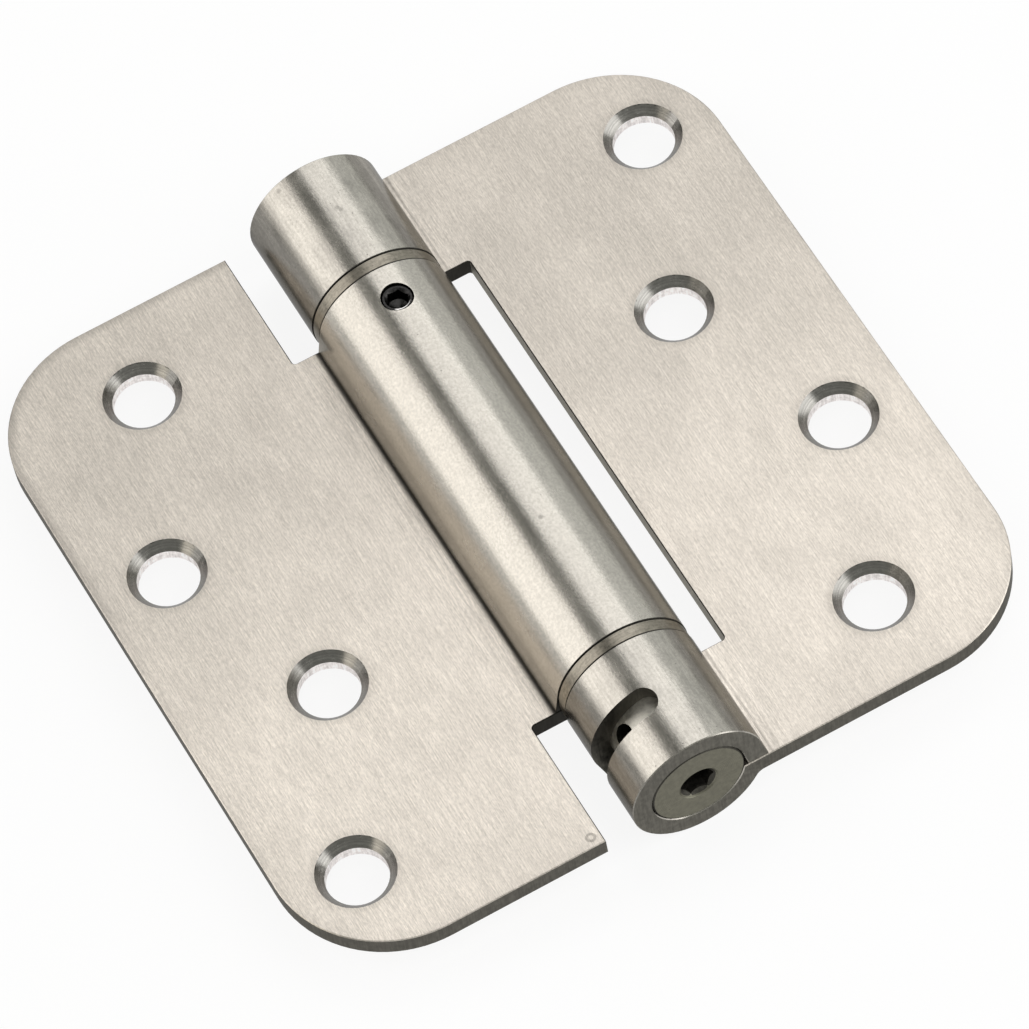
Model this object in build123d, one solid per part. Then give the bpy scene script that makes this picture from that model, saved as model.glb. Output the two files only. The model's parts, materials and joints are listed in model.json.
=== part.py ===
"""Spring door hinge, 4 by 4 inches, with rounded leaf corners and an adjustable torsion spring.

The hinge lies open and flat. The pin axis is the Y axis, the origin is its middle, +X points
to the frame leaf, -X to the door leaf, and +Z away from the countersunk face. Millimetres.
"""
import os
from math import ceil, cos, degrees, hypot, pi, radians, sin, sqrt, tan

from build123d import *

# Leaves
HINGE_LENGTH = 101.6
LEAF_WIDTH = 50.8
SHEET = 2.75
CORNER_RADIUS = 15.875
LEAF_DROP = 1.7
LEAF_EDGE = 0.12
UNDERSIDE_BEND = 1.2

# Barrel
BORE_RADIUS = 6.45
CURL_TANGENT_ANGLE = 79
CURL_SEAM = 0.12
END_KNUCKLE_LENGTH = 17.3
WASHER_THICKNESS = 1.75
WASHER_INSET = 0.1
WASHER_CHAMFER = 0.1
RUNNING_GAP = 0.05
SLOT_EDGE = 13.25
SLOT_CORNER = 0.5

# Screw holes, two rows in each leaf, placed from the leaf's outer edge and its ends
SCREW_EDGE_OUTER = 9.525
SCREW_EDGE_INNER = 19.05
SCREW_END = 12.7
SCREW_SPACING = 25.4
SCREW_HOLE_RADIUS = 4.05
SCREW_SINK_RADIUS = 5.15
SCREW_SINK_HALF_ANGLE = 41

# Adjusting slot in the bottom knuckle, angles counted from +Z towards -X
PIN_SLOT_WIDTH = 4.1
PIN_SLOT_END_DISTANCE = 8.6
PIN_SLOT_START = 1
PIN_SLOT_END = 121

# Adjusting spindle and pivot plug
PLUG_CLEARANCE = 0.05
PLUG_CHAMFER = 0.2
SPINDLE_LENGTH = 23.5
PLUG_LENGTH = 30.0
PIN_HOLE_RADIUS = 1.6
PIN_HOLE_DEPTH = 3.4
PIN_HOLE_COUNT = 4
PIN_HOLE_ANGLE = 55.5
HEX_ACROSS_FLATS = 4.0
HEX_DEPTH = 5.0
HEX_MOUTH_RADIUS = 2.7

# Set screw in the centre knuckle, angle from +Z towards +X
SET_SCREW_RADIUS = 2.1
SET_SCREW_LENGTH = 4.0
SET_SCREW_SUNK = 0.4
SET_SCREW_END_DISTANCE = 5.15
SET_SCREW_ANGLE = 3.8
SET_SCREW_HEX = 2.6
SET_SCREW_HEX_DEPTH = 2.0
SET_SCREW_MOUTH_RADIUS = 1.65
SET_SCREW_CLEARANCE = 0.05
SET_SCREW_POINT = 0.6

# Torsion spring
WIRE = 2.2
COIL_RADIUS = 4.6
COIL_SPACING = 2.0
COIL_FACETS = 12
LEG_BEND = 1.5
LEG_REACH = 3.5
SPRING_END_GAP = 0.6
GROOVE_CLEARANCE = 0.1

# Worked out from the sizes above
HALF_LENGTH = HINGE_LENGTH / 2
BARREL_RADIUS = BORE_RADIUS + SHEET
LEAF_TOP = -LEAF_DROP
LEAF_BACK = -LEAF_DROP - SHEET
OUTER_KNUCKLE_START = HALF_LENGTH - END_KNUCKLE_LENGTH
WASHER_END = OUTER_KNUCKLE_START - RUNNING_GAP
WASHER_START = WASHER_END - WASHER_THICKNESS
CENTRE_END = WASHER_START - RUNNING_GAP
PIN_SLOT_MIDDLE = HALF_LENGTH - PIN_SLOT_END_DISTANCE
PLUG_RADIUS = BORE_RADIUS - PLUG_CLEARANCE
PLUG_INNER_END = HALF_LENGTH - PLUG_LENGTH
SPINDLE_INNER_END = -HALF_LENGTH + SPINDLE_LENGTH
SCREW_ROW_OUTER = LEAF_WIDTH - SCREW_EDGE_OUTER
SCREW_ROW_INNER = LEAF_WIDTH - SCREW_EDGE_INNER
SCREW_FAR = HALF_LENGTH - SCREW_END
SCREW_NEAR = SCREW_FAR - SCREW_SPACING
SCREW_SINK_DEPTH = (SCREW_SINK_RADIUS - SCREW_HOLE_RADIUS) / tan(radians(SCREW_SINK_HALF_ANGLE))
SET_SCREW_HOLE_RADIUS = SET_SCREW_RADIUS + SET_SCREW_CLEARANCE
SET_SCREW_TOP = BARREL_RADIUS - SET_SCREW_SUNK
SET_SCREW_ALONG = CENTRE_END - SET_SCREW_END_DISTANCE
COIL_PITCH = WIRE + COIL_SPACING
COIL_START = SPINDLE_INNER_END + SPRING_END_GAP + WIRE / 2
COIL_END = PLUG_INNER_END - SPRING_END_GAP - WIRE / 2
COIL_TURNS = (COIL_END - COIL_START) / COIL_PITCH

# How far a cutter reaches past the face it opens, and how close counts as the same place
CUT_PAST = 2
SAME_PLACE = 0.01

FRAME_HOLES = [
    (SCREW_ROW_OUTER, SCREW_FAR),
    (SCREW_ROW_INNER, SCREW_NEAR),
    (SCREW_ROW_OUTER, -SCREW_NEAR),
    (SCREW_ROW_INNER, -SCREW_FAR),
]
DOOR_HOLES = [(-x, -y) for x, y in FRAME_HOLES]

# Section plane of the barrel: local x is X, local y is Z, and an extrusion goes towards -Y
SECTION = Plane.XZ


def section_point(angle, radius):
    """Point of the barrel's section, with the angle counted from +Z towards +X."""
    return (radius * sin(radians(angle)), radius * cos(radians(angle)))


def along_pin(section, start, end):
    """Extrude a section of the barrel from one place on the pin axis to another."""
    return Pos(0, end, 0) * extrude(SECTION * section, amount=end - start)


def curl_section():
    """Section of a knuckle whose leaf lies towards +X, without the leaf beyond the bend."""
    reach = 2 * BARREL_RADIUS
    side = radians(CURL_TANGENT_ANGLE)
    inner = section_point(CURL_TANGENT_ANGLE, BORE_RADIUS)
    outer = section_point(CURL_TANGENT_ANGLE, BARREL_RADIUS)
    seam = LEAF_TOP + CURL_SEAM

    def tail_end(distance):
        return ((distance - seam * cos(side)) / sin(side), seam)

    ring = Circle(BARREL_RADIUS) - Circle(BORE_RADIUS)
    beyond = make_face(
        Polyline(
            (0, 0),
            section_point(CURL_TANGENT_ANGLE, reach),
            (reach, LEAF_TOP),
            (0, LEAF_TOP),
            close=True,
        )
    )
    tail = make_face(
        Polyline(inner, outer, tail_end(BARREL_RADIUS), tail_end(BORE_RADIUS), close=True)
    )
    leaf_start = Pos(SLOT_EDGE / 2, LEAF_TOP - SHEET / 2) * Rectangle(SLOT_EDGE, SHEET)
    leaf_start -= Circle(BORE_RADIUS)
    section = (ring - beyond) + tail + leaf_start
    bend = section.vertices().filter_by(
        lambda v: abs(v.Y - LEAF_BACK) < SAME_PLACE and BORE_RADIUS < v.X < BARREL_RADIUS
    )
    return fillet(bend, UNDERSIDE_BEND)


def knuckle(start, end, door_side=False):
    """Curled knuckle between two places on the pin axis, with its outer edges broken."""
    solid = along_pin(curl_section(), start, end)
    ends = solid.edges().filter_by(Plane.XZ)
    in_leaf = ends.filter_by(lambda e: abs(e.center().X - SLOT_EDGE) < SAME_PLACE)
    arcs = ends.filter_by(GeomType.CIRCLE)
    bore = arcs.filter_by(lambda e: abs(e.radius - BORE_RADIUS) < SAME_PLACE)
    solid = chamfer(ends - in_leaf - bore, LEAF_EDGE)
    return mirror(solid, about=Plane.YZ) if door_side else solid


def plate_solid(outline):
    """Flat part of a leaf from its outline, with the edges of both faces broken."""
    plate = Pos(0, 0, LEAF_BACK) * extrude(outline, amount=SHEET)
    return chamfer(plate.edges().filter_by(Plane.XY), LEAF_EDGE)


def rounded_leaf():
    """Outline of a leaf from the slot's edge outwards, with its two outer corners rounded."""
    width = LEAF_WIDTH - SLOT_EDGE
    outline = Pos(SLOT_EDGE + width / 2, 0) * Rectangle(width, HINGE_LENGTH)
    corners = outline.vertices().group_by(Axis.X)[-1]
    return fillet(corners, CORNER_RADIUS)


def inner_corners(outline, along):
    """Round the outline's inner corners at the slot's edge."""
    picked = outline.vertices().filter_by(
        lambda v: hypot(abs(v.X) - SLOT_EDGE, abs(v.Y) - along) < SAME_PLACE
    )
    return fillet(picked, SLOT_CORNER)


def countersunk_hole(x, y):
    """Cutter for one countersunk screw hole, open towards +Z."""
    drill = Pos(x, y, LEAF_BACK + SHEET / 2) * Cylinder(SCREW_HOLE_RADIUS, SHEET + CUT_PAST)
    sink = Pos(x, y, LEAF_TOP - SCREW_SINK_DEPTH) * Cone(
        SCREW_HOLE_RADIUS,
        SCREW_SINK_RADIUS,
        SCREW_SINK_DEPTH,
        align=(Align.CENTER, Align.CENTER, Align.MIN),
    )
    return drill + sink


def radial(angle, along, inner, cutter_radius, outer):
    """Cylinder that stands on the pin axis, at an angle from +Z towards +X."""
    rod = Pos(0, 0, inner) * Cylinder(
        cutter_radius, outer - inner, align=(Align.CENTER, Align.CENTER, Align.MIN)
    )
    return Pos(0, along, 0) * Rot(0, angle, 0) * rod


def set_screw_hole(seat):
    """Cutter for the set screw's hole, from its seat outwards."""
    reach = BARREL_RADIUS + CUT_PAST
    return radial(SET_SCREW_ANGLE, SET_SCREW_ALONG, seat, SET_SCREW_HOLE_RADIUS, reach)


def pin_slot():
    """Cutter for the slot round the bottom knuckle, with full round ends."""
    end_radius = PIN_SLOT_WIDTH / 2
    end_angle = degrees(end_radius / BARREL_RADIUS)
    first = PIN_SLOT_START + end_angle
    last = PIN_SLOT_END - end_angle
    reach = BARREL_RADIUS + CUT_PAST
    middle = (first + last) / 2
    wedge = make_face(
        [
            Line((0, 0), section_point(-first, reach)),
            ThreePointArc(
                section_point(-first, reach), section_point(-middle, reach), section_point(-last, reach)
            ),
            Line(section_point(-last, reach), (0, 0)),
        ]
    )
    start = -PIN_SLOT_MIDDLE - end_radius
    slot = along_pin(wedge, start, start + PIN_SLOT_WIDTH)
    for angle in (first, last):
        slot += radial(-angle, -PIN_SLOT_MIDDLE, 0, end_radius, reach)
    return slot


def frame_leaf():
    """Leaf for the door frame, with the top and bottom knuckles."""
    outline = rounded_leaf()
    root = SLOT_EDGE - BARREL_RADIUS
    for side in (-1, 1):
        tab_length = HALF_LENGTH - OUTER_KNUCKLE_START
        tab_middle = side * (OUTER_KNUCKLE_START + tab_length / 2)
        outline += Pos(SLOT_EDGE - root / 2, tab_middle) * Rectangle(root, tab_length)
    outline = inner_corners(outline, OUTER_KNUCKLE_START)
    leaf = plate_solid(outline)
    for start, end in ((OUTER_KNUCKLE_START, HALF_LENGTH), (-HALF_LENGTH, -OUTER_KNUCKLE_START)):
        leaf += knuckle(start, end)
    for x, y in FRAME_HOLES:
        leaf -= countersunk_hole(x, y)
    return leaf - pin_slot()


def door_leaf():
    """Leaf for the door, with the long centre knuckle and its set screw hole."""
    outline = mirror(rounded_leaf(), about=Plane.YZ)
    root = SLOT_EDGE - BARREL_RADIUS
    outline += Pos(-SLOT_EDGE + root / 2, 0) * Rectangle(root, 2 * CENTRE_END)
    outline = inner_corners(outline, CENTRE_END)
    leaf = plate_solid(outline)
    leaf += knuckle(-CENTRE_END, CENTRE_END, door_side=True)
    for x, y in DOOR_HOLES:
        leaf -= countersunk_hole(x, y)
    return leaf - set_screw_hole(0)


def washer(start):
    """Flat bearing ring between two knuckles."""
    ring = Circle(BARREL_RADIUS - WASHER_INSET) - Circle(BORE_RADIUS)
    solid = along_pin(ring, start, start + WASHER_THICKNESS)
    rims = [e for e in solid.edges().filter_by(GeomType.CIRCLE) if e.radius > BORE_RADIUS + SAME_PLACE]
    return chamfer(rims, WASHER_CHAMFER)


def hex_socket(across_flats, depth, mouth_radius):
    """Cutter for a hex socket that opens towards -Z, with its mouth broken."""
    key = extrude(RegularPolygon(across_flats / 2, 6, major_radius=False), amount=depth)
    corner = across_flats / sqrt(3)
    mouth = Cone(
        mouth_radius,
        across_flats / 2,
        mouth_radius - across_flats / 2,
        align=(Align.CENTER, Align.CENTER, Align.MIN),
    )
    drill_point = Pos(0, 0, depth) * Cone(
        across_flats / 2, 0, corner / 2, align=(Align.CENTER, Align.CENTER, Align.MIN)
    )
    return key + mouth + drill_point


def turned_plug(start, end):
    """Round plug in the bore with both rims broken."""
    solid = along_pin(Circle(PLUG_RADIUS), start, end)
    return chamfer(solid.edges().filter_by(GeomType.CIRCLE), PLUG_CHAMFER)


def leg_groove(at_top):
    """Cutter for the groove that holds a spring leg, open at the plug's rim and inner end."""
    seat = COIL_RADIUS - WIRE / 2 - GROOVE_CLEARANCE
    width = WIRE + 2 * GROOVE_CLEARANCE
    depth = LEG_REACH + LEG_BEND
    reach = BARREL_RADIUS
    aside = -LEG_BEND if at_top else LEG_BEND
    groove = Pos(seat + reach / 2, 0, aside) * Box(reach, 2 * depth, width)
    place = PLUG_INNER_END if at_top else SPINDLE_INNER_END
    angle = 360 * COIL_TURNS if at_top else 0
    return Pos(0, place, 0) * Rot(0, angle, 0) * groove


def adjusting_spindle():
    """Spindle in the bottom knuckle that winds the spring, with its pin holes and hex socket."""
    spindle = turned_plug(-HALF_LENGTH, SPINDLE_INNER_END)
    for index in range(PIN_HOLE_COUNT):
        angle = -PIN_HOLE_ANGLE + index * 360 / PIN_HOLE_COUNT
        seat = PLUG_RADIUS - PIN_HOLE_DEPTH
        spindle -= radial(angle, -PIN_SLOT_MIDDLE, seat, PIN_HOLE_RADIUS, BARREL_RADIUS)
    socket = hex_socket(HEX_ACROSS_FLATS, HEX_DEPTH, HEX_MOUTH_RADIUS)
    spindle -= Pos(0, -HALF_LENGTH, 0) * Rot(-90, 0, 0) * socket
    return spindle - leg_groove(at_top=False)


def pivot_plug():
    """Plug that turns in the top knuckle and is locked to the centre knuckle."""
    plug = turned_plug(PLUG_INNER_END, HALF_LENGTH)
    plug -= set_screw_hole(SET_SCREW_TOP - SET_SCREW_LENGTH)
    return plug - leg_groove(at_top=True)


def set_screw():
    """Headless socket screw through the centre knuckle, its point against the plug."""
    screw = extrude(Circle(SET_SCREW_RADIUS), amount=SET_SCREW_LENGTH)
    ends = screw.edges().filter_by(GeomType.CIRCLE).sort_by(Axis.Z)
    screw = chamfer(ends[0], SET_SCREW_POINT)
    top_rim = screw.edges().filter_by(GeomType.CIRCLE).sort_by(Axis.Z)[-1]
    screw = chamfer(top_rim, PLUG_CHAMFER)
    socket = hex_socket(SET_SCREW_HEX, SET_SCREW_HEX_DEPTH, SET_SCREW_MOUTH_RADIUS)
    screw -= Pos(0, 0, SET_SCREW_LENGTH) * Rot(180, 0, 0) * socket
    place = Rot(0, SET_SCREW_ANGLE, 0) * Pos(0, 0, SET_SCREW_TOP - SET_SCREW_LENGTH)
    return Pos(0, SET_SCREW_ALONG, 0) * place * screw


def coil_station(turns):
    """Plane across the spring's wire after so many turns, its x pointing away from the pin axis."""
    angle = 2 * pi * turns
    out = Vector(cos(angle), sin(angle), 0)
    along = Vector(-sin(angle), cos(angle), 0)
    return Plane(out * COIL_RADIUS + Vector(0, 0, COIL_PITCH * turns), x_dir=out, z_dir=along)


def flat_face(*corners):
    """Flat face between three or more points."""
    return make_face(Polyline(*corners, close=True))


def faceted_coil(stations):
    """Square wire through the stations, closed by flat faces alone."""
    half = WIRE / 2
    corners = [(-half, -half), (half, -half), (half, half), (-half, half)]
    rings = [[station.from_local_coords(corner) for corner in corners] for station in stations]
    faces = [flat_face(*rings[0]), flat_face(*rings[-1])]
    for near, far in zip(rings, rings[1:]):
        for side in range(len(corners)):
            faces.append(flat_face(near[side - 1], near[side], far[side]))
            faces.append(flat_face(near[side - 1], far[side], far[side - 1]))
    return Solid(Shell(faces))


def torsion_spring():
    """Square wire coil in flat facets, with one leg bent along the pin axis at each end."""
    steps = ceil(COIL_TURNS * COIL_FACETS)
    stations = [coil_station(COIL_TURNS * step / steps) for step in range(steps + 1)]
    spring = faceted_coil(stations)
    for at_top in (False, True):
        station = stations[-1 if at_top else 0]
        way = station.z_dir if at_top else -station.z_dir
        rise = Vector(0, 0, 1 if at_top else -1)
        bend_plane = Plane(station.origin, x_dir=way, z_dir=way.cross(rise))
        bend = bend_plane * JernArc((0, 0), (1, 0), LEG_BEND, 90)
        leg = Line(bend @ 1, bend @ 1 + rise * LEG_REACH)
        for path in (bend, leg):
            start = Plane(path @ 0, x_dir=station.x_dir, z_dir=path % 0)
            spring += sweep(start * Rectangle(WIRE, WIRE), path=path)
    return Pos(0, COIL_START, 0) * Rot(-90, 0, 0) * spring


PARTS = {
    "frame_leaf": frame_leaf,
    "door_leaf": door_leaf,
    "upper_washer": lambda: washer(WASHER_START),
    "lower_washer": lambda: washer(-WASHER_END),
    "pivot_plug": pivot_plug,
    "adjusting_spindle": adjusting_spindle,
    "set_screw": set_screw,
    "torsion_spring": torsion_spring,
}

os.makedirs("parts", exist_ok=True)
for name, make in PARTS.items():
    export_step(make(), f"parts/{name}.step")
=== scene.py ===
"""Spring door hinge on a pale studio floor: the finishes of its steel, and light, floor and camera.

Metres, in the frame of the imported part: the pin lies along Y, the frame leaf towards +X, the
countersunk faces up. Sizes inside the materials are millimetres.
"""

import json
from math import cos, hypot, pi, radians, sin, tan

import bpy
from mathutils import Matrix, Vector


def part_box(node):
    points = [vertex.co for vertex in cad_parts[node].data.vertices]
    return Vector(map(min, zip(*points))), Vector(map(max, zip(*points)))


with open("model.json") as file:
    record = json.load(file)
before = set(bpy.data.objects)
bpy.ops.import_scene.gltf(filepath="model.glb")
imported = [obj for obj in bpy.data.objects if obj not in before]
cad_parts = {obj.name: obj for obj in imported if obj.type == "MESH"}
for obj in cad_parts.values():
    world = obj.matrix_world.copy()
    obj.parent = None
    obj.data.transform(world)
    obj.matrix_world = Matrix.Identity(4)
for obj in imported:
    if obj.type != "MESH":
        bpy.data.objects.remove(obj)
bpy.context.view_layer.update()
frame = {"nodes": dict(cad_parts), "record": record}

MM = 0.001

# Camera, fitted to the photograph, for a sensor as wide as the square picture
CAMERA_AZIMUTH = -18.2
CAMERA_ELEVATION = 57.0
CAMERA_ROLL = 12.3
CAMERA_DISTANCE = 1.0387
CAMERA_AIM = (-0.2 * MM, -3.4 * MM, -1.7 * MM)
CAMERA_SENSOR = 36.0
CAMERA_LENS = 290.8

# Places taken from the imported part
low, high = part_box("frame_leaf")
BARREL_RADIUS = high.z
HALF_LENGTH = high.y
LEAF_REACH = high.x
FLOOR_Z = low.z
MOUNTS = {mount["name"]: mount for mount in frame["record"]["mounts"]}
LEAF_BACK = MOUNTS["frame_leaf_back"]["pos_m"][2]

# Middle of the set screw, in millimetres
SCREW_MIDDLE = sum(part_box("set_screw"), Vector()) / (2 * MM)

# Sizes of the CAD part that the finishes follow
SLOT_EDGE = 13.25 * MM
CORNER_RADIUS = 15.875 * MM
SINK_RADIUS = 5.15 * MM
PLUG_RADIUS = 6.4 * MM
PIN_SLOT = -42.2 * MM

# Half the pin slot's width and the width of a broken edge, each with some room to spare
PIN_SLOT_REACH = 2.5 * MM
EDGE = 0.3 * MM

# Part of a face's normal that lies along an axis: more than STRAIGHT or ALONG where the face looks
# that way, less than ASIDE where it looks to the side
STRAIGHT = 0.99
ALONG = 0.9
ASIDE = 0.3

# Marks on this hinge, in millimetres: a ring-shaped punch mark by the door leaf's inner corner,
# knocks in the knuckles, the side and radius of a painted highlight on the set screw's bare metal,
# and a ring round its hole, burnished and painted brighter as a highlight
PUNCH_MARK = (-14.6, -49.4, 0)
PUNCH_RADIUS = 0.5
DENTS = ((0.8, 42.2, 9.16), (0.55, 42.7, 9.18), (-4.32, 49.8, 8.12), (0.16, -12.2, 9.2))
HIGHLIGHT_SIDE = (0.176, -0.984, 0)
HIGHLIGHT_RADIUS = 1.66
POLISHED_HIGHLIGHT_RADIUS = 2.3

# Painted shade beside the knuckles, |X| in millimetres: a dark line where the frame leaf's sheet
# bends, and the shadow in the crack between the door leaf and the end of its curl, with soft shade
# beside it
BEND_SHADE_LINE = (10.0, 10.25, 10.6)
CRACK_SHADOW = (9.6, 10.7)

# Painted shade along the knuckles, degrees from +Z towards +X: a dark streak right of the top, and
# the darker flank towards -X
SHADE_STREAK = 44
SHADED_FLANK = -74

# Wave of painted light and shade along the leaves, and rings on turned faces, in millimetres
PAINTED_SHEEN_WAVE = 120
RING_PITCH = 0.22

# Knuckles of each leaf: level, wear and the level of painted shade on the flank towards -X, as
# barrel_steel() takes them
KNUCKLES = {"frame_leaf": (0.45, 1.3, 0.55), "door_leaf": (0.48, 0.4, 1.0)}

# Colours of the steels, linear
SHEET_TINT = (0.64, 0.589, 0.526)
BARREL_TINT = (1, 0.947, 0.852)
SINK_TINT = (0.32, 0.31, 0.29)
WASHER_TINT = (0.29, 0.265, 0.22)
BARE_TINT = (1, 0.97, 0.95)
WIRE_TINT = (0.26, 0.26, 0.27)

# Floor: the share of it that is plain white to the camera, and the colour of the lit paper that
# shows the shadows in the rest
FLOOR_WHITE = 0.87
PAPER = (0.92, 0.92, 0.92, 1)
FLOOR_SIZE = 4.0

# Room light at the horizon and overhead
ROOM_COLOUR = (0.98, 1, 0.94, 1)
ROOM_LOW = 0.42
ROOM_HIGH = 0.18

# Lamps: how far they stand from the origin, then name, turn, lean, spread, length, brightness and
# colour, as softbox() takes them
LAMP_DISTANCE = 0.9
SOFTBOXES = (
    ("left_box", -55.5, 27.5, 49, 31, 1.78, (1, 0.975, 0.96)),
    ("right_box", 21.5, 22, 39, 42, 1.53, (1, 0.995, 1)),
    ("right_fill", 60, 22, 38, 42, 0.58, (0.97, 1, 1)),
    ("low_box", 74, -26, 34, 46, 2.0, (1, 1, 1)),
    ("low_left_box", -75, -3, 12, 26, 1.6, (1, 0.93, 0.82)),
    ("front_box", 10, -28, 80, 46, 1.3, (1, 1, 1)),
)


def screw_holes():
    """Middle of each screw hole, from the record's bolt patterns."""
    holes = []
    for mount in MOUNTS.values():
        if mount["kind"] == "bolt_pattern":
            x, y, _ = mount["pos_m"]
            half = mount["dims"]["spacing_y_mm"] * MM / 2
            holes += [(x, y - half), (x, y + half)]
    return holes


SCREW_HOLES = screw_holes()


class Graph:
    """A material with short calls for making and joining its nodes."""

    def __init__(self, name):
        self.material = bpy.data.materials.new(name)
        self.material.use_nodes = True
        self.tree = self.material.node_tree
        self.tree.nodes.clear()

    def node(self, kind, **settings):
        node = self.tree.nodes.new(kind)
        for key, value in settings.items():
            setattr(node, key, value)
        return node

    def feed(self, socket, value):
        if isinstance(value, bpy.types.NodeSocket):
            self.tree.links.new(value, socket)
        else:
            socket.default_value = value

    def split(self, kind, value):
        """Outputs of a separate node."""
        node = self.node(kind)
        self.feed(node.inputs[0], value)
        return list(node.outputs)

    def math(self, operation, *values):
        node = self.node("ShaderNodeMath", operation=operation)
        for socket, value in zip(node.inputs, values):
            self.feed(socket, value)
        return node.outputs[0]

    def product(self, first, *others):
        for other in others:
            first = self.math("MULTIPLY", first, other)
        return first

    def vector(self, operation, *values):
        node = self.node("ShaderNodeVectorMath", operation=operation)
        for socket, value in zip(node.inputs, values):
            self.feed(socket, value)
        scalar = operation in ("LENGTH", "DISTANCE", "DOT_PRODUCT")
        return node.outputs["Value" if scalar else "Vector"]

    def remap(self, value, low, high, to_low, to_high):
        """Smooth step of a value between two limits, held level beyond them."""
        node = self.node("ShaderNodeMapRange", interpolation_type="SMOOTHSTEP")
        for socket, given in zip(node.inputs, (value, low, high, to_low, to_high)):
            self.feed(socket, given)
        return node.outputs["Result"]

    def vary(self, noise, lowest, highest):
        """Value that follows a noise through the range that most of it keeps to."""
        return self.remap(noise, 0.3, 0.7, lowest, highest)

    def mark(self, mask, factor):
        """Factor where a mask is 1, and 1 where it is 0."""
        return self.remap(mask, 0, 1, 1, factor)

    def band(self, value, middle, inner, outer, within, beyond=1):
        """One level where a value is near a middle, and another further away."""
        away = self.math("ABSOLUTE", self.math("SUBTRACT", value, middle))
        return self.remap(away, inner, outer, within, beyond)

    def place(self):
        """Place on the piece in millimetres, in the row frame at rest."""
        coordinates = self.node("ShaderNodeTexCoord").outputs["Object"]
        return self.vector("MULTIPLY", coordinates, (1 / MM, 1 / MM, 1 / MM))

    def noise(self, place, per_mm, detail=2.0, roughness=0.5, seed=0.0):
        """Noise with its own number of features in each millimetre of X, Y and Z."""
        stretched = self.vector("MULTIPLY_ADD", place, per_mm, (seed, seed, seed))
        node = self.node("ShaderNodeTexNoise")
        self.feed(node.inputs["Vector"], stretched)
        self.feed(node.inputs["Scale"], 1.0)
        self.feed(node.inputs["Detail"], detail)
        self.feed(node.inputs["Roughness"], roughness)
        return node.outputs["Fac"]

    def specks(self, place, per_mm, radius, share, seed=0.0):
        """1 in small spots, in a share of the cells of a millimetre grid."""
        cells = self.node("ShaderNodeTexVoronoi", feature="F1")
        self.feed(cells.inputs["Vector"], self.vector("ADD", place, (seed, seed, seed)))
        self.feed(cells.inputs["Scale"], per_mm)
        lot = self.split("ShaderNodeSeparateColor", cells.outputs["Color"])[0]
        chosen = self.math("LESS_THAN", lot, share)
        spot = self.remap(cells.outputs["Distance"], 0.4 * radius * per_mm, radius * per_mm, 1, 0)
        return self.math("MULTIPLY", chosen, spot)

    def hole_distance(self, place):
        """Distance from the axis of the nearest screw hole."""
        flat = self.vector("MULTIPLY", place, (1, 1, 0))
        return self.spot_distance(flat, [(x / MM, y / MM, 0) for x, y in SCREW_HOLES])

    def spot_distance(self, place, spots):
        """Distance from the nearest of some spots."""
        nearest = self.vector("DISTANCE", place, spots[0])
        for spot in spots[1:]:
            nearest = self.math("MINIMUM", nearest, self.vector("DISTANCE", place, spot))
        return nearest

    def screw_distance(self, place):
        """Distance from the set screw's middle, seen along Z."""
        flat = self.vector("MULTIPLY", place, (1, 1, 0))
        return self.vector("DISTANCE", flat, (SCREW_MIDDLE.x, SCREW_MIDDLE.y, 0))

    def rim_distance(self, place):
        """Distance inwards from the leaf's rounded outline."""
        straight = [(side - CORNER_RADIUS) / MM for side in (LEAF_REACH, HALF_LENGTH)] + [0]
        flat = self.vector("MULTIPLY", self.vector("ABSOLUTE", place), (1, 1, 0))
        past = self.vector("MAXIMUM", self.vector("SUBTRACT", flat, straight), (0, 0, 0))
        return self.math("SUBTRACT", CORNER_RADIUS / MM, self.vector("LENGTH", past))

    def bump(self, height, depth):
        """Bump whose height of 1 stands for a depth in millimetres."""
        node = self.node("ShaderNodeBump")
        self.feed(node.inputs["Height"], height)
        self.feed(node.inputs["Distance"], depth * MM)
        self.feed(node.inputs["Strength"], 1.0)
        return node.outputs["Normal"]

    def steel(self, tint, shade, roughness, normal, edge_tint=0.6, anisotropy=0.0):
        """Finish the material as metal whose colour is a tint times a grey value."""
        shader = self.node("ShaderNodeBsdfPrincipled")
        grey = self.node("ShaderNodeCombineColor")
        for socket, part in zip(grey.inputs, tint):
            self.feed(socket, self.math("MULTIPLY", shade, part))
        self.feed(shader.inputs["Base Color"], grey.outputs["Color"])
        self.feed(shader.inputs["Metallic"], 1.0)
        self.feed(shader.inputs["Specular Tint"], (edge_tint, edge_tint, edge_tint, 1))
        self.feed(shader.inputs["Roughness"], roughness)
        self.feed(shader.inputs["Normal"], normal)
        if anisotropy:
            self.feed(shader.inputs["Anisotropic"], anisotropy)
            tangent = self.node("ShaderNodeTangent", direction_type="RADIAL", axis="Y")
            self.feed(shader.inputs["Tangent"], tangent.outputs["Tangent"])
        output = self.node("ShaderNodeOutputMaterial")
        self.feed(output.inputs["Surface"], shader.outputs["BSDF"])
        return self.material


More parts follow.
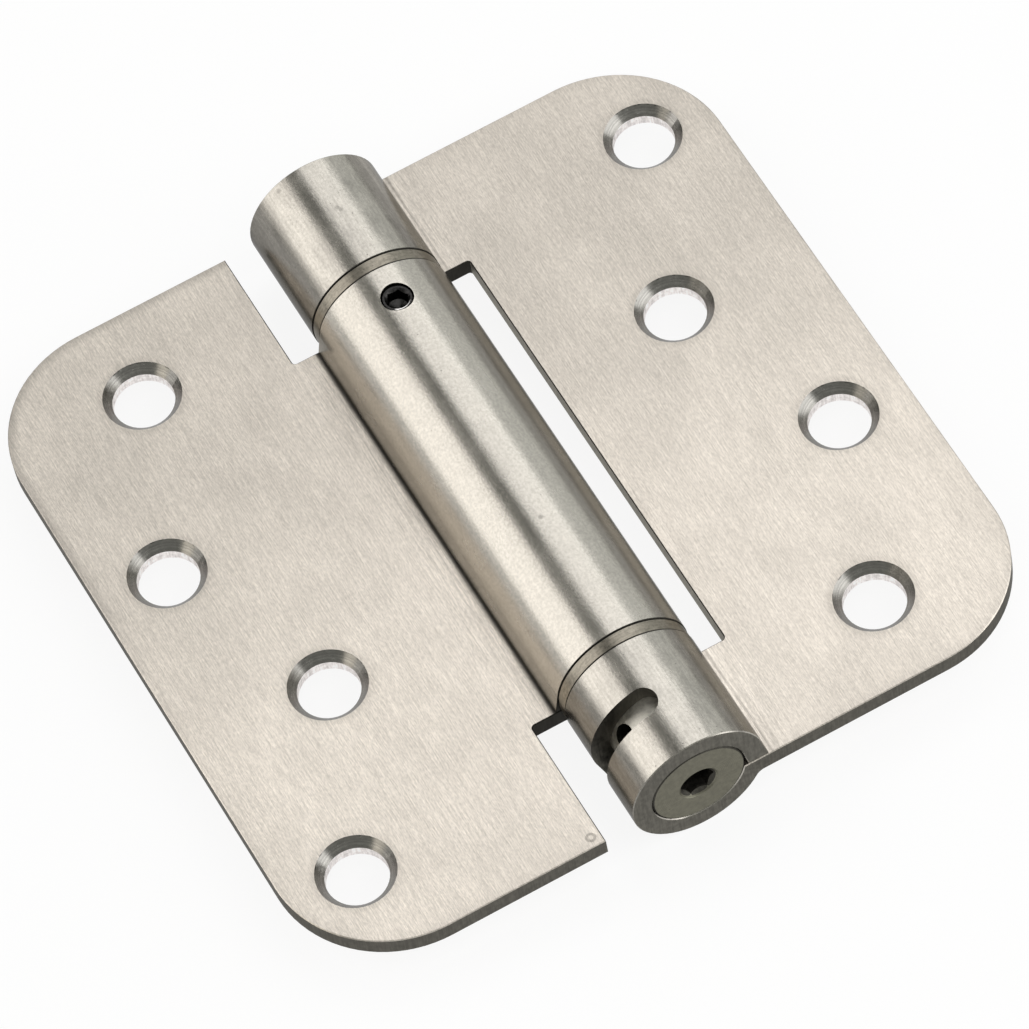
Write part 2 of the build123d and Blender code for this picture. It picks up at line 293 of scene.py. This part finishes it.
def sheet_steel():
    """Flat faces of the leaves: satin steel brushed along the pin, with painted light and shade on
    it.
    """
    g = Graph("sheet_steel")
    place = g.place()
    x, y, _ = g.split("ShaderNodeSeparateXYZ", place)
    # Painted light and shade in a wave along the pin
    painted_sheen = g.math("SINE", g.math("MULTIPLY", y, 2 * pi / PAINTED_SHEEN_WAVE))
    strands = g.noise(place, (6.5, 0.28, 6.5), detail=3, roughness=0.65)
    strokes = g.noise(place, (2.4, 0.13, 2.4), detail=2, seed=31)
    clouds = g.noise(place, (0.11, 0.08, 0.11), detail=3, seed=57)
    grit = g.noise(place, (6.0, 1.7, 6.0), detail=2, roughness=0.7, seed=83)
    drag = g.noise(place, (3.2, 0.16, 3.2), detail=3, roughness=0.6, seed=5)
    # Rub streaks beside the knuckles, shifted lighter as painted light against the shade there
    near_barrel = g.remap(g.math("ABSOLUTE", x), 10, 17, 1, 0)
    rub_streaks_and_painted_light = g.math("MULTIPLY", g.remap(drag, 0.35, 0.65, -0.10, 0.16), near_barrel)
    # Depth of the painted shade along the leaves' outline, deepest where -X and +Y meet
    rim = g.math("MAXIMUM", g.remap(x, -10, 10, 0.72, 0.93), g.remap(y, 0, 25, 0.93, 0.72))
    # Painted shade: a dark line at the frame leaf's bend
    start, deepest, stop = BEND_SHADE_LINE
    bend_shade = g.math("SUBTRACT", g.remap(x, start, deepest, 0, 1), g.remap(x, deepest, stop, 0, 1))
    # Painted shadow in the door leaf's crack, with soft shade beside it
    near, far = CRACK_SHADOW
    crack_shadow = g.math("MULTIPLY", g.remap(x, -far, -near, 0, 1), g.math("LESS_THAN", x, 0))
    from_punch = g.vector("DISTANCE", g.vector("MULTIPLY", place, (1, 1, 0)), PUNCH_MARK)
    shade = g.product(
        g.vary(strands, 0.83, 1.13),
        g.vary(strokes, 0.96, 1.04),
        g.vary(clouds, 0.95, 1.04),
        g.vary(grit, 0.86, 1.11),
        # Painted shade round each countersink
        g.remap(g.hole_distance(place), 5.2, 6.4, 0.88, 1),
        # Painted shade along the outline
        g.remap(g.rim_distance(place), 0, 1.7, rim, 1),
        g.math("ADD", rub_streaks_and_painted_light, 1),
        g.mark(bend_shade, 0.72),
        g.mark(crack_shadow, 0.06),
        g.remap(painted_sheen, -1, 1, 1.08, 0.92),
        # Painted light and shade: the door leaf lighter, the frame leaf darker
        g.remap(x, -50, 50, 1.06, 0.94),
        g.band(from_punch, PUNCH_RADIUS, 0.1, 0.25, 0.6),
        g.mark(g.specks(place, 0.13, 0.16, 0.35), 0.55),
        g.mark(g.specks(place, 0.31, 0.09, 0.4, seed=9), 0.7),
    )
    roughness = g.remap(strands, 0.2, 0.8, 0.34, 0.46)
    height = g.math("ADD", strands, g.math("MULTIPLY", grit, 0.6))
    return g.steel(SHEET_TINT, shade, roughness, g.bump(height, 0.008), anisotropy=0.35)


def barrel_steel(name, level, wear, flank_shade):
    """Curled knuckles: the same sheet, rubbed smooth by the rolling, with fine pores and pits.

    wear deepens streaks, clouds and pits. A streak of painted shade lies right of the top, and the
    last argument is the level of painted shade on the side towards -X.
    """
    g = Graph(name)
    place = g.place()
    x, _, z = g.split("ShaderNodeSeparateXYZ", place)
    turn = g.math("MULTIPLY", g.math("ARCTAN2", x, z), 180 / pi)
    pores = g.noise(place, (3.0, 2.4, 3.0), detail=3, roughness=0.65)
    strands = g.noise(place, (3.0, 0.3, 3.0), detail=3, roughness=0.6, seed=19)
    clouds = g.noise(place, (0.35, 0.16, 0.35), detail=4, roughness=0.6, seed=7)
    dent = g.remap(g.spot_distance(place, DENTS), 0.1, 0.5, 1, 0)
    shade = g.product(
        level,
        g.mark(dent, 0.68),
        g.vary(pores, 0.89, 1.08),
        g.vary(strands, 1 - 0.09 * wear, 1 + 0.06 * wear),
        g.vary(clouds, 1 - 0.10 * wear, 1 + 0.07 * wear),
        # Ring round the set screw's hole, burnished and painted brighter as a highlight
        g.band(g.screw_distance(place), POLISHED_HIGHLIGHT_RADIUS, 0.05, 0.15, 1.12),
        # Painted shade: a dark streak right of the top
        g.band(turn, SHADE_STREAK, 3, 10, 0.68),
        # Painted shade on the flank towards -X
        g.band(turn, SHADED_FLANK, 25, 36, flank_shade),
        g.mark(g.specks(place, 0.6, 0.16, 0.4 * wear), 0.6),
        g.mark(g.specks(place, 1.3, 0.09, 0.3 * wear, seed=3), 0.65),
    )
    roughness = g.vary(clouds, 0.22, 0.28)
    normal = g.bump(g.math("SUBTRACT", pores, dent), 0.011)
    return g.steel(BARREL_TINT, shade, roughness, normal, edge_tint=0.45, anisotropy=0.1)


def sheared_steel(name, level, blue=0.82):
    """Sheared or drilled faces of the sheet: matte, at their own level of grey and share of blue."""
    g = Graph(name)
    place = g.place()
    grain = g.noise(place, (1.4, 1.4, 1.4), detail=4, roughness=0.6)
    drag = g.noise(place, (4.5, 4.5, 0.4), detail=2, seed=11)
    shade = g.product(g.vary(grain, 0.8, 1.15), g.vary(drag, 0.86, 1.1))
    tint = (level, 0.95 * level, blue * level)
    roughness = g.remap(grain, 0.2, 0.8, 0.42, 0.58)
    return g.steel(tint, shade, roughness, g.bump(g.math("ADD", grain, drag), 0.02))


def sink_steel():
    """Countersinks: cut in hoops round each hole, with nicks in the rim."""
    g = Graph("sink_steel")
    place = g.place()
    nearest = g.hole_distance(place)
    grain = g.noise(place, (1.8, 1.8, 1.8), detail=3)
    outward = g.node("ShaderNodeCombineXYZ")
    g.feed(outward.inputs[0], g.math("MULTIPLY_ADD", grain, 0.15, nearest))
    hoops = g.noise(outward.outputs[0], (5.0, 0, 0), detail=2)
    nicks = g.noise(place, (1.6, 1.6, 1.6), detail=2, seed=71)
    rim = g.remap(nearest, SINK_RADIUS / MM - 0.2, SINK_RADIUS / MM, 0, 1)
    shade = g.product(
        g.vary(hoops, 0.76, 1.14),
        g.vary(grain, 0.92, 1.05),
        g.mark(g.math("MULTIPLY", rim, g.remap(nicks, 0.55, 0.62, 0, 1)), 0.35),
    )
    roughness = g.remap(grain, 0.2, 0.8, 0.2, 0.28)
    return g.steel(SINK_TINT, shade, roughness, g.bump(hoops, 0.003))


def turned_steel(name, level, blue=0.86):
    """Spindle and plug: turned on the pin axis, so their end faces show fine rings."""
    g = Graph(name)
    place = g.place()
    radius = g.vector("LENGTH", g.vector("MULTIPLY", place, (1, 0, 1)))
    grain = g.noise(place, (1.8, 1.8, 1.8), detail=4, roughness=0.65)
    phase = g.math("MULTIPLY", radius, 2 * pi / RING_PITCH)
    rings = g.math("SINE", g.math("MULTIPLY_ADD", grain, 1.2, phase))
    shade = g.product(
        g.remap(rings, -1, 1, 0.94, 1.04),
        g.vary(grain, 0.84, 1.12),
        g.mark(g.specks(place, 0.6, 0.14, 0.4), 0.6),
    )
    tint = (level, 0.96 * level, blue * level)
    roughness = g.remap(grain, 0.2, 0.8, 0.36, 0.5)
    return g.steel(tint, shade, roughness, g.bump(rings, 0.004))


def washer_steel():
    """Bearing washers: duller and browner than the knuckles beside them."""
    g = Graph("washer_steel")
    place = g.place()
    grain = g.noise(place, (2.2, 2.2, 2.2), detail=4, roughness=0.7)
    hoops = g.noise(place, (0.5, 7.0, 0.5), detail=2, seed=23)
    shade = g.product(g.vary(grain, 0.72, 1.15), g.vary(hoops, 0.85, 1.08))
    roughness = g.remap(grain, 0.2, 0.8, 0.26, 0.38)
    normal = g.bump(g.math("ADD", grain, hoops), 0.006)
    return g.steel(WASHER_TINT, shade, roughness, normal)


def black_steel():
    """Set screw: black oxide, with a painted highlight of bare metal on one side of its socket."""
    g = Graph("black_steel")
    place = g.place()
    grain = g.noise(place, (3.0, 3.0, 3.0), detail=3)
    flat = g.vector("MULTIPLY", place, (1, 1, 0))
    aside = g.vector("SUBTRACT", flat, (SCREW_MIDDLE.x, SCREW_MIDDLE.y, 0))
    towards = g.vector("DOT_PRODUCT", g.vector("NORMALIZE", aside), HIGHLIGHT_SIDE)
    ring = g.band(g.screw_distance(place), HIGHLIGHT_RADIUS, 0.07, 0.12, 1, beyond=0)
    # Painted highlight: a bright crescent of bare metal on one side of the socket
    painted_highlight = g.math("MULTIPLY", g.remap(towards, 0.65, 0.85, 0, 1), ring)
    shade = g.math("ADD", g.vary(grain, 0.025, 0.045), g.math("MULTIPLY", painted_highlight, 0.75))
    roughness = g.remap(grain, 0.2, 0.8, 0.24, 0.36)
    return g.steel(BARE_TINT, shade, roughness, g.bump(grain, 0.01))


def spring_steel():
    """Torsion spring: drawn wire with a blue-grey skin."""
    g = Graph("spring_steel")
    place = g.place()
    grain = g.noise(place, (2.0, 2.0, 2.0), detail=4)
    roughness = g.remap(grain, 0.2, 0.8, 0.35, 0.5)
    return g.steel(WIRE_TINT, g.vary(grain, 0.75, 1.15), roughness, g.bump(grain, 0.015))


def leaf_zone(centre, normal):
    """Which finish a face of a leaf takes, from where it lies and where it looks."""
    radius = hypot(centre.x, centre.z)
    outward = (centre.x * normal.x + centre.z * normal.z) / radius
    if abs(normal.z) > STRAIGHT and LEAF_BACK - EDGE / 2 < centre.z < 0:
        return "sheet"
    if min(hypot(centre.x - x, centre.y - y) for x, y in SCREW_HOLES) < SINK_RADIUS:
        return "sink" if normal.z > ASIDE else "hole_wall"
    in_slot = abs(centre.x) < SLOT_EDGE + 2 * EDGE and abs(centre.y) < HALF_LENGTH - EDGE
    if radius < BARREL_RADIUS:
        if not in_slot:
            return "end" if abs(normal.y) > ALONG else "barrel"
        if outward > ALONG:
            return "barrel"
        return "sheared" if abs(centre.y - PIN_SLOT) < PIN_SLOT_REACH else "crevice_shade"
    if abs(centre.x) < SLOT_EDGE - EDGE and abs(normal.y) < ASIDE:
        return "barrel"
    if in_slot:
        return "slot_wall" if abs(normal.x) > ALONG else "crevice_shade"
    return "sheared" if abs(normal.z) < ASIDE else "sheet"


def spindle_zone(centre, normal):
    """End face duller and darker than the turned side, partly as painted shade, and painted shade
    where it meets the bore and in its holes.
    """
    if abs(centre.y) < HALF_LENGTH - EDGE:
        return "side" if hypot(centre.x, centre.z) > PLUG_RADIUS - EDGE else "crevice_shade"
    if abs(normal.y) > ALONG or hypot(centre.x, centre.z) < BARREL_RADIUS / 2:
        return "end"
    return "crevice_shade"


def washer_zone(centre, normal):
    """The rim is bare, and its broken edges take painted shade from the gaps beside them."""
    return "rim" if abs(normal.y) < ASIDE else "crevice_shade"


def whole(centre, normal):
    """A node with one finish all over."""
    return "skin"


def dress(node, finishes, zone):
    """Give each face of a node the finish of its zone."""
    mesh = frame["nodes"][node].data
    names = list(finishes)
    mesh.materials.clear()
    for name in names:
        mesh.materials.append(finishes[name])
    for face in mesh.polygons:
        face.material_index = names.index(zone(face.center, face.normal))


def studio_floor():
    """Pale floor that is white to the camera and to reflections, apart from the object's shadow."""
    bpy.ops.mesh.primitive_plane_add(size=FLOOR_SIZE, location=(0, 0, FLOOR_Z))
    floor = bpy.context.object
    floor.name = "studio_floor"
    g = Graph("floor_white")
    paper = g.node("ShaderNodeBsdfDiffuse")
    g.feed(paper.inputs["Color"], PAPER)
    white = g.node("ShaderNodeEmission")
    g.feed(white.inputs["Strength"], 1.0)
    ray = g.node("ShaderNodeLightPath")
    seen = g.math("MAXIMUM", ray.outputs["Is Camera Ray"], ray.outputs["Is Glossy Ray"])
    seen = g.math("MAXIMUM", seen, ray.outputs["Is Transmission Ray"])
    mix = g.node("ShaderNodeMixShader")
    g.feed(mix.inputs[0], g.math("MULTIPLY", seen, FLOOR_WHITE))
    g.feed(mix.inputs[1], paper.outputs[0])
    g.feed(mix.inputs[2], white.outputs[0])
    output = g.node("ShaderNodeOutputMaterial")
    g.feed(output.inputs["Surface"], mix.outputs[0])
    floor.data.materials.append(g.material)


def studio_world():
    """Dim room that is darker overhead than at the horizon."""
    world = bpy.data.worlds.new("studio")
    bpy.context.scene.world = world
    world.use_nodes = True
    tree = world.node_tree
    tree.nodes.clear()
    coordinates = tree.nodes.new("ShaderNodeTexCoord")
    split = tree.nodes.new("ShaderNodeSeparateXYZ")
    ramp = tree.nodes.new("ShaderNodeMapRange")
    room = tree.nodes.new("ShaderNodeBackground")
    output = tree.nodes.new("ShaderNodeOutputWorld")
    tree.links.new(coordinates.outputs["Generated"], split.inputs[0])
    tree.links.new(split.outputs["Z"], ramp.inputs["Value"])
    ramp.inputs["To Min"].default_value = ROOM_LOW
    ramp.inputs["To Max"].default_value = ROOM_HIGH
    room.inputs["Color"].default_value = ROOM_COLOUR
    tree.links.new(ramp.outputs["Result"], room.inputs["Strength"])
    tree.links.new(room.outputs[0], output.inputs[0])


def softbox(name, turn, lean, spread, length, brightness, colour):
    """Rectangular lamp that faces the origin.

    turn goes from +Z towards +X round the pin axis and lean from there towards +Y, spread and
    length are the angles it covers across the pin and along it, all in degrees. brightness is
    what the camera would see.
    """
    width, height = (2 * LAMP_DISTANCE * tan(radians(angle / 2)) for angle in (spread, length))
    lamp = bpy.data.lights.new(name, "AREA")
    lamp.shape = "RECTANGLE"
    lamp.size = width
    lamp.size_y = height
    lamp.color = colour
    lamp.energy = brightness * pi * width * height
    place = bpy.data.objects.new(name, lamp)
    bpy.context.scene.collection.objects.link(place)
    turn, lean = radians(turn), radians(lean)
    away = Vector((sin(turn) * cos(lean), sin(lean), cos(turn) * cos(lean)))
    across = Vector((cos(turn), 0, -sin(turn)))
    along = away.cross(across)
    place.matrix_world = Matrix.Translation(away * LAMP_DISTANCE) @ Matrix(
        (across, along, away)
    ).transposed().to_4x4()


def studio_camera():
    """Camera at the photograph's viewing angle."""
    turn, rise, roll = (radians(v) for v in (CAMERA_AZIMUTH, CAMERA_ELEVATION, CAMERA_ROLL))
    back = Vector((sin(turn) * cos(rise), -cos(turn) * cos(rise), sin(rise)))
    level = Vector((cos(turn), sin(turn), 0))
    upright = back.cross(level)
    right = cos(roll) * level - sin(roll) * upright
    up = sin(roll) * level + cos(roll) * upright
    camera = bpy.data.objects.new("camera", bpy.data.cameras.new("camera"))
    bpy.context.scene.collection.objects.link(camera)
    camera.data.lens = CAMERA_LENS
    camera.data.sensor_width = CAMERA_SENSOR
    camera.matrix_world = Matrix.Translation(Vector(CAMERA_AIM) + back * CAMERA_DISTANCE) @ Matrix(
        (right, up, back)
    ).transposed().to_4x4()
    bpy.context.scene.camera = camera


leaf_finishes = {
    "sheet": sheet_steel(),
    # Sheared and end faces: dark partly for their rough cut and partly as painted shade
    "sheared": sheared_steel("sheared_steel", 0.13),
    "end": sheared_steel("end_face_steel", 0.15),
    "slot_wall": sheared_steel("slot_wall_steel", 0.32),
    # Near black: painted shade in slots, notches and holes
    "crevice_shade": sheared_steel("crevice_shade_steel", 0.035),
    "sink": sink_steel(),
    "hole_wall": sheared_steel("hole_wall_steel", 0.95, blue=0.93),
}
for leaf, look in KNUCKLES.items():
    barrel = barrel_steel(leaf + "_barrel", *look)
    dress(leaf, {**leaf_finishes, "barrel": barrel}, leaf_zone)

# Near black for the washers' broken edges and the plug's rim: painted shade in the gaps
seam_shade = sheared_steel("seam_shade_steel", 0.07)
plug_finishes = {
    "side": turned_steel("turned_side", 0.55),
    # The end faces take a darker copy: a duller finish and painted shade
    "end": turned_steel("turned_end", 0.18, blue=0.75),
    "crevice_shade": seam_shade,
}
for plug in ("pivot_plug", "adjusting_spindle"):
    dress(plug, plug_finishes, spindle_zone)

washer_finishes = {"rim": washer_steel(), "crevice_shade": seam_shade}
for ring in ("upper_washer", "lower_washer"):
    dress(ring, washer_finishes, washer_zone)

dress("set_screw", {"skin": black_steel()}, whole)
dress("torsion_spring", {"skin": spring_steel()}, whole)

studio_floor()
studio_world()
for box in SOFTBOXES:
    softbox(*box)
studio_camera()
bpy.context.scene.view_settings.view_transform = "Standard"
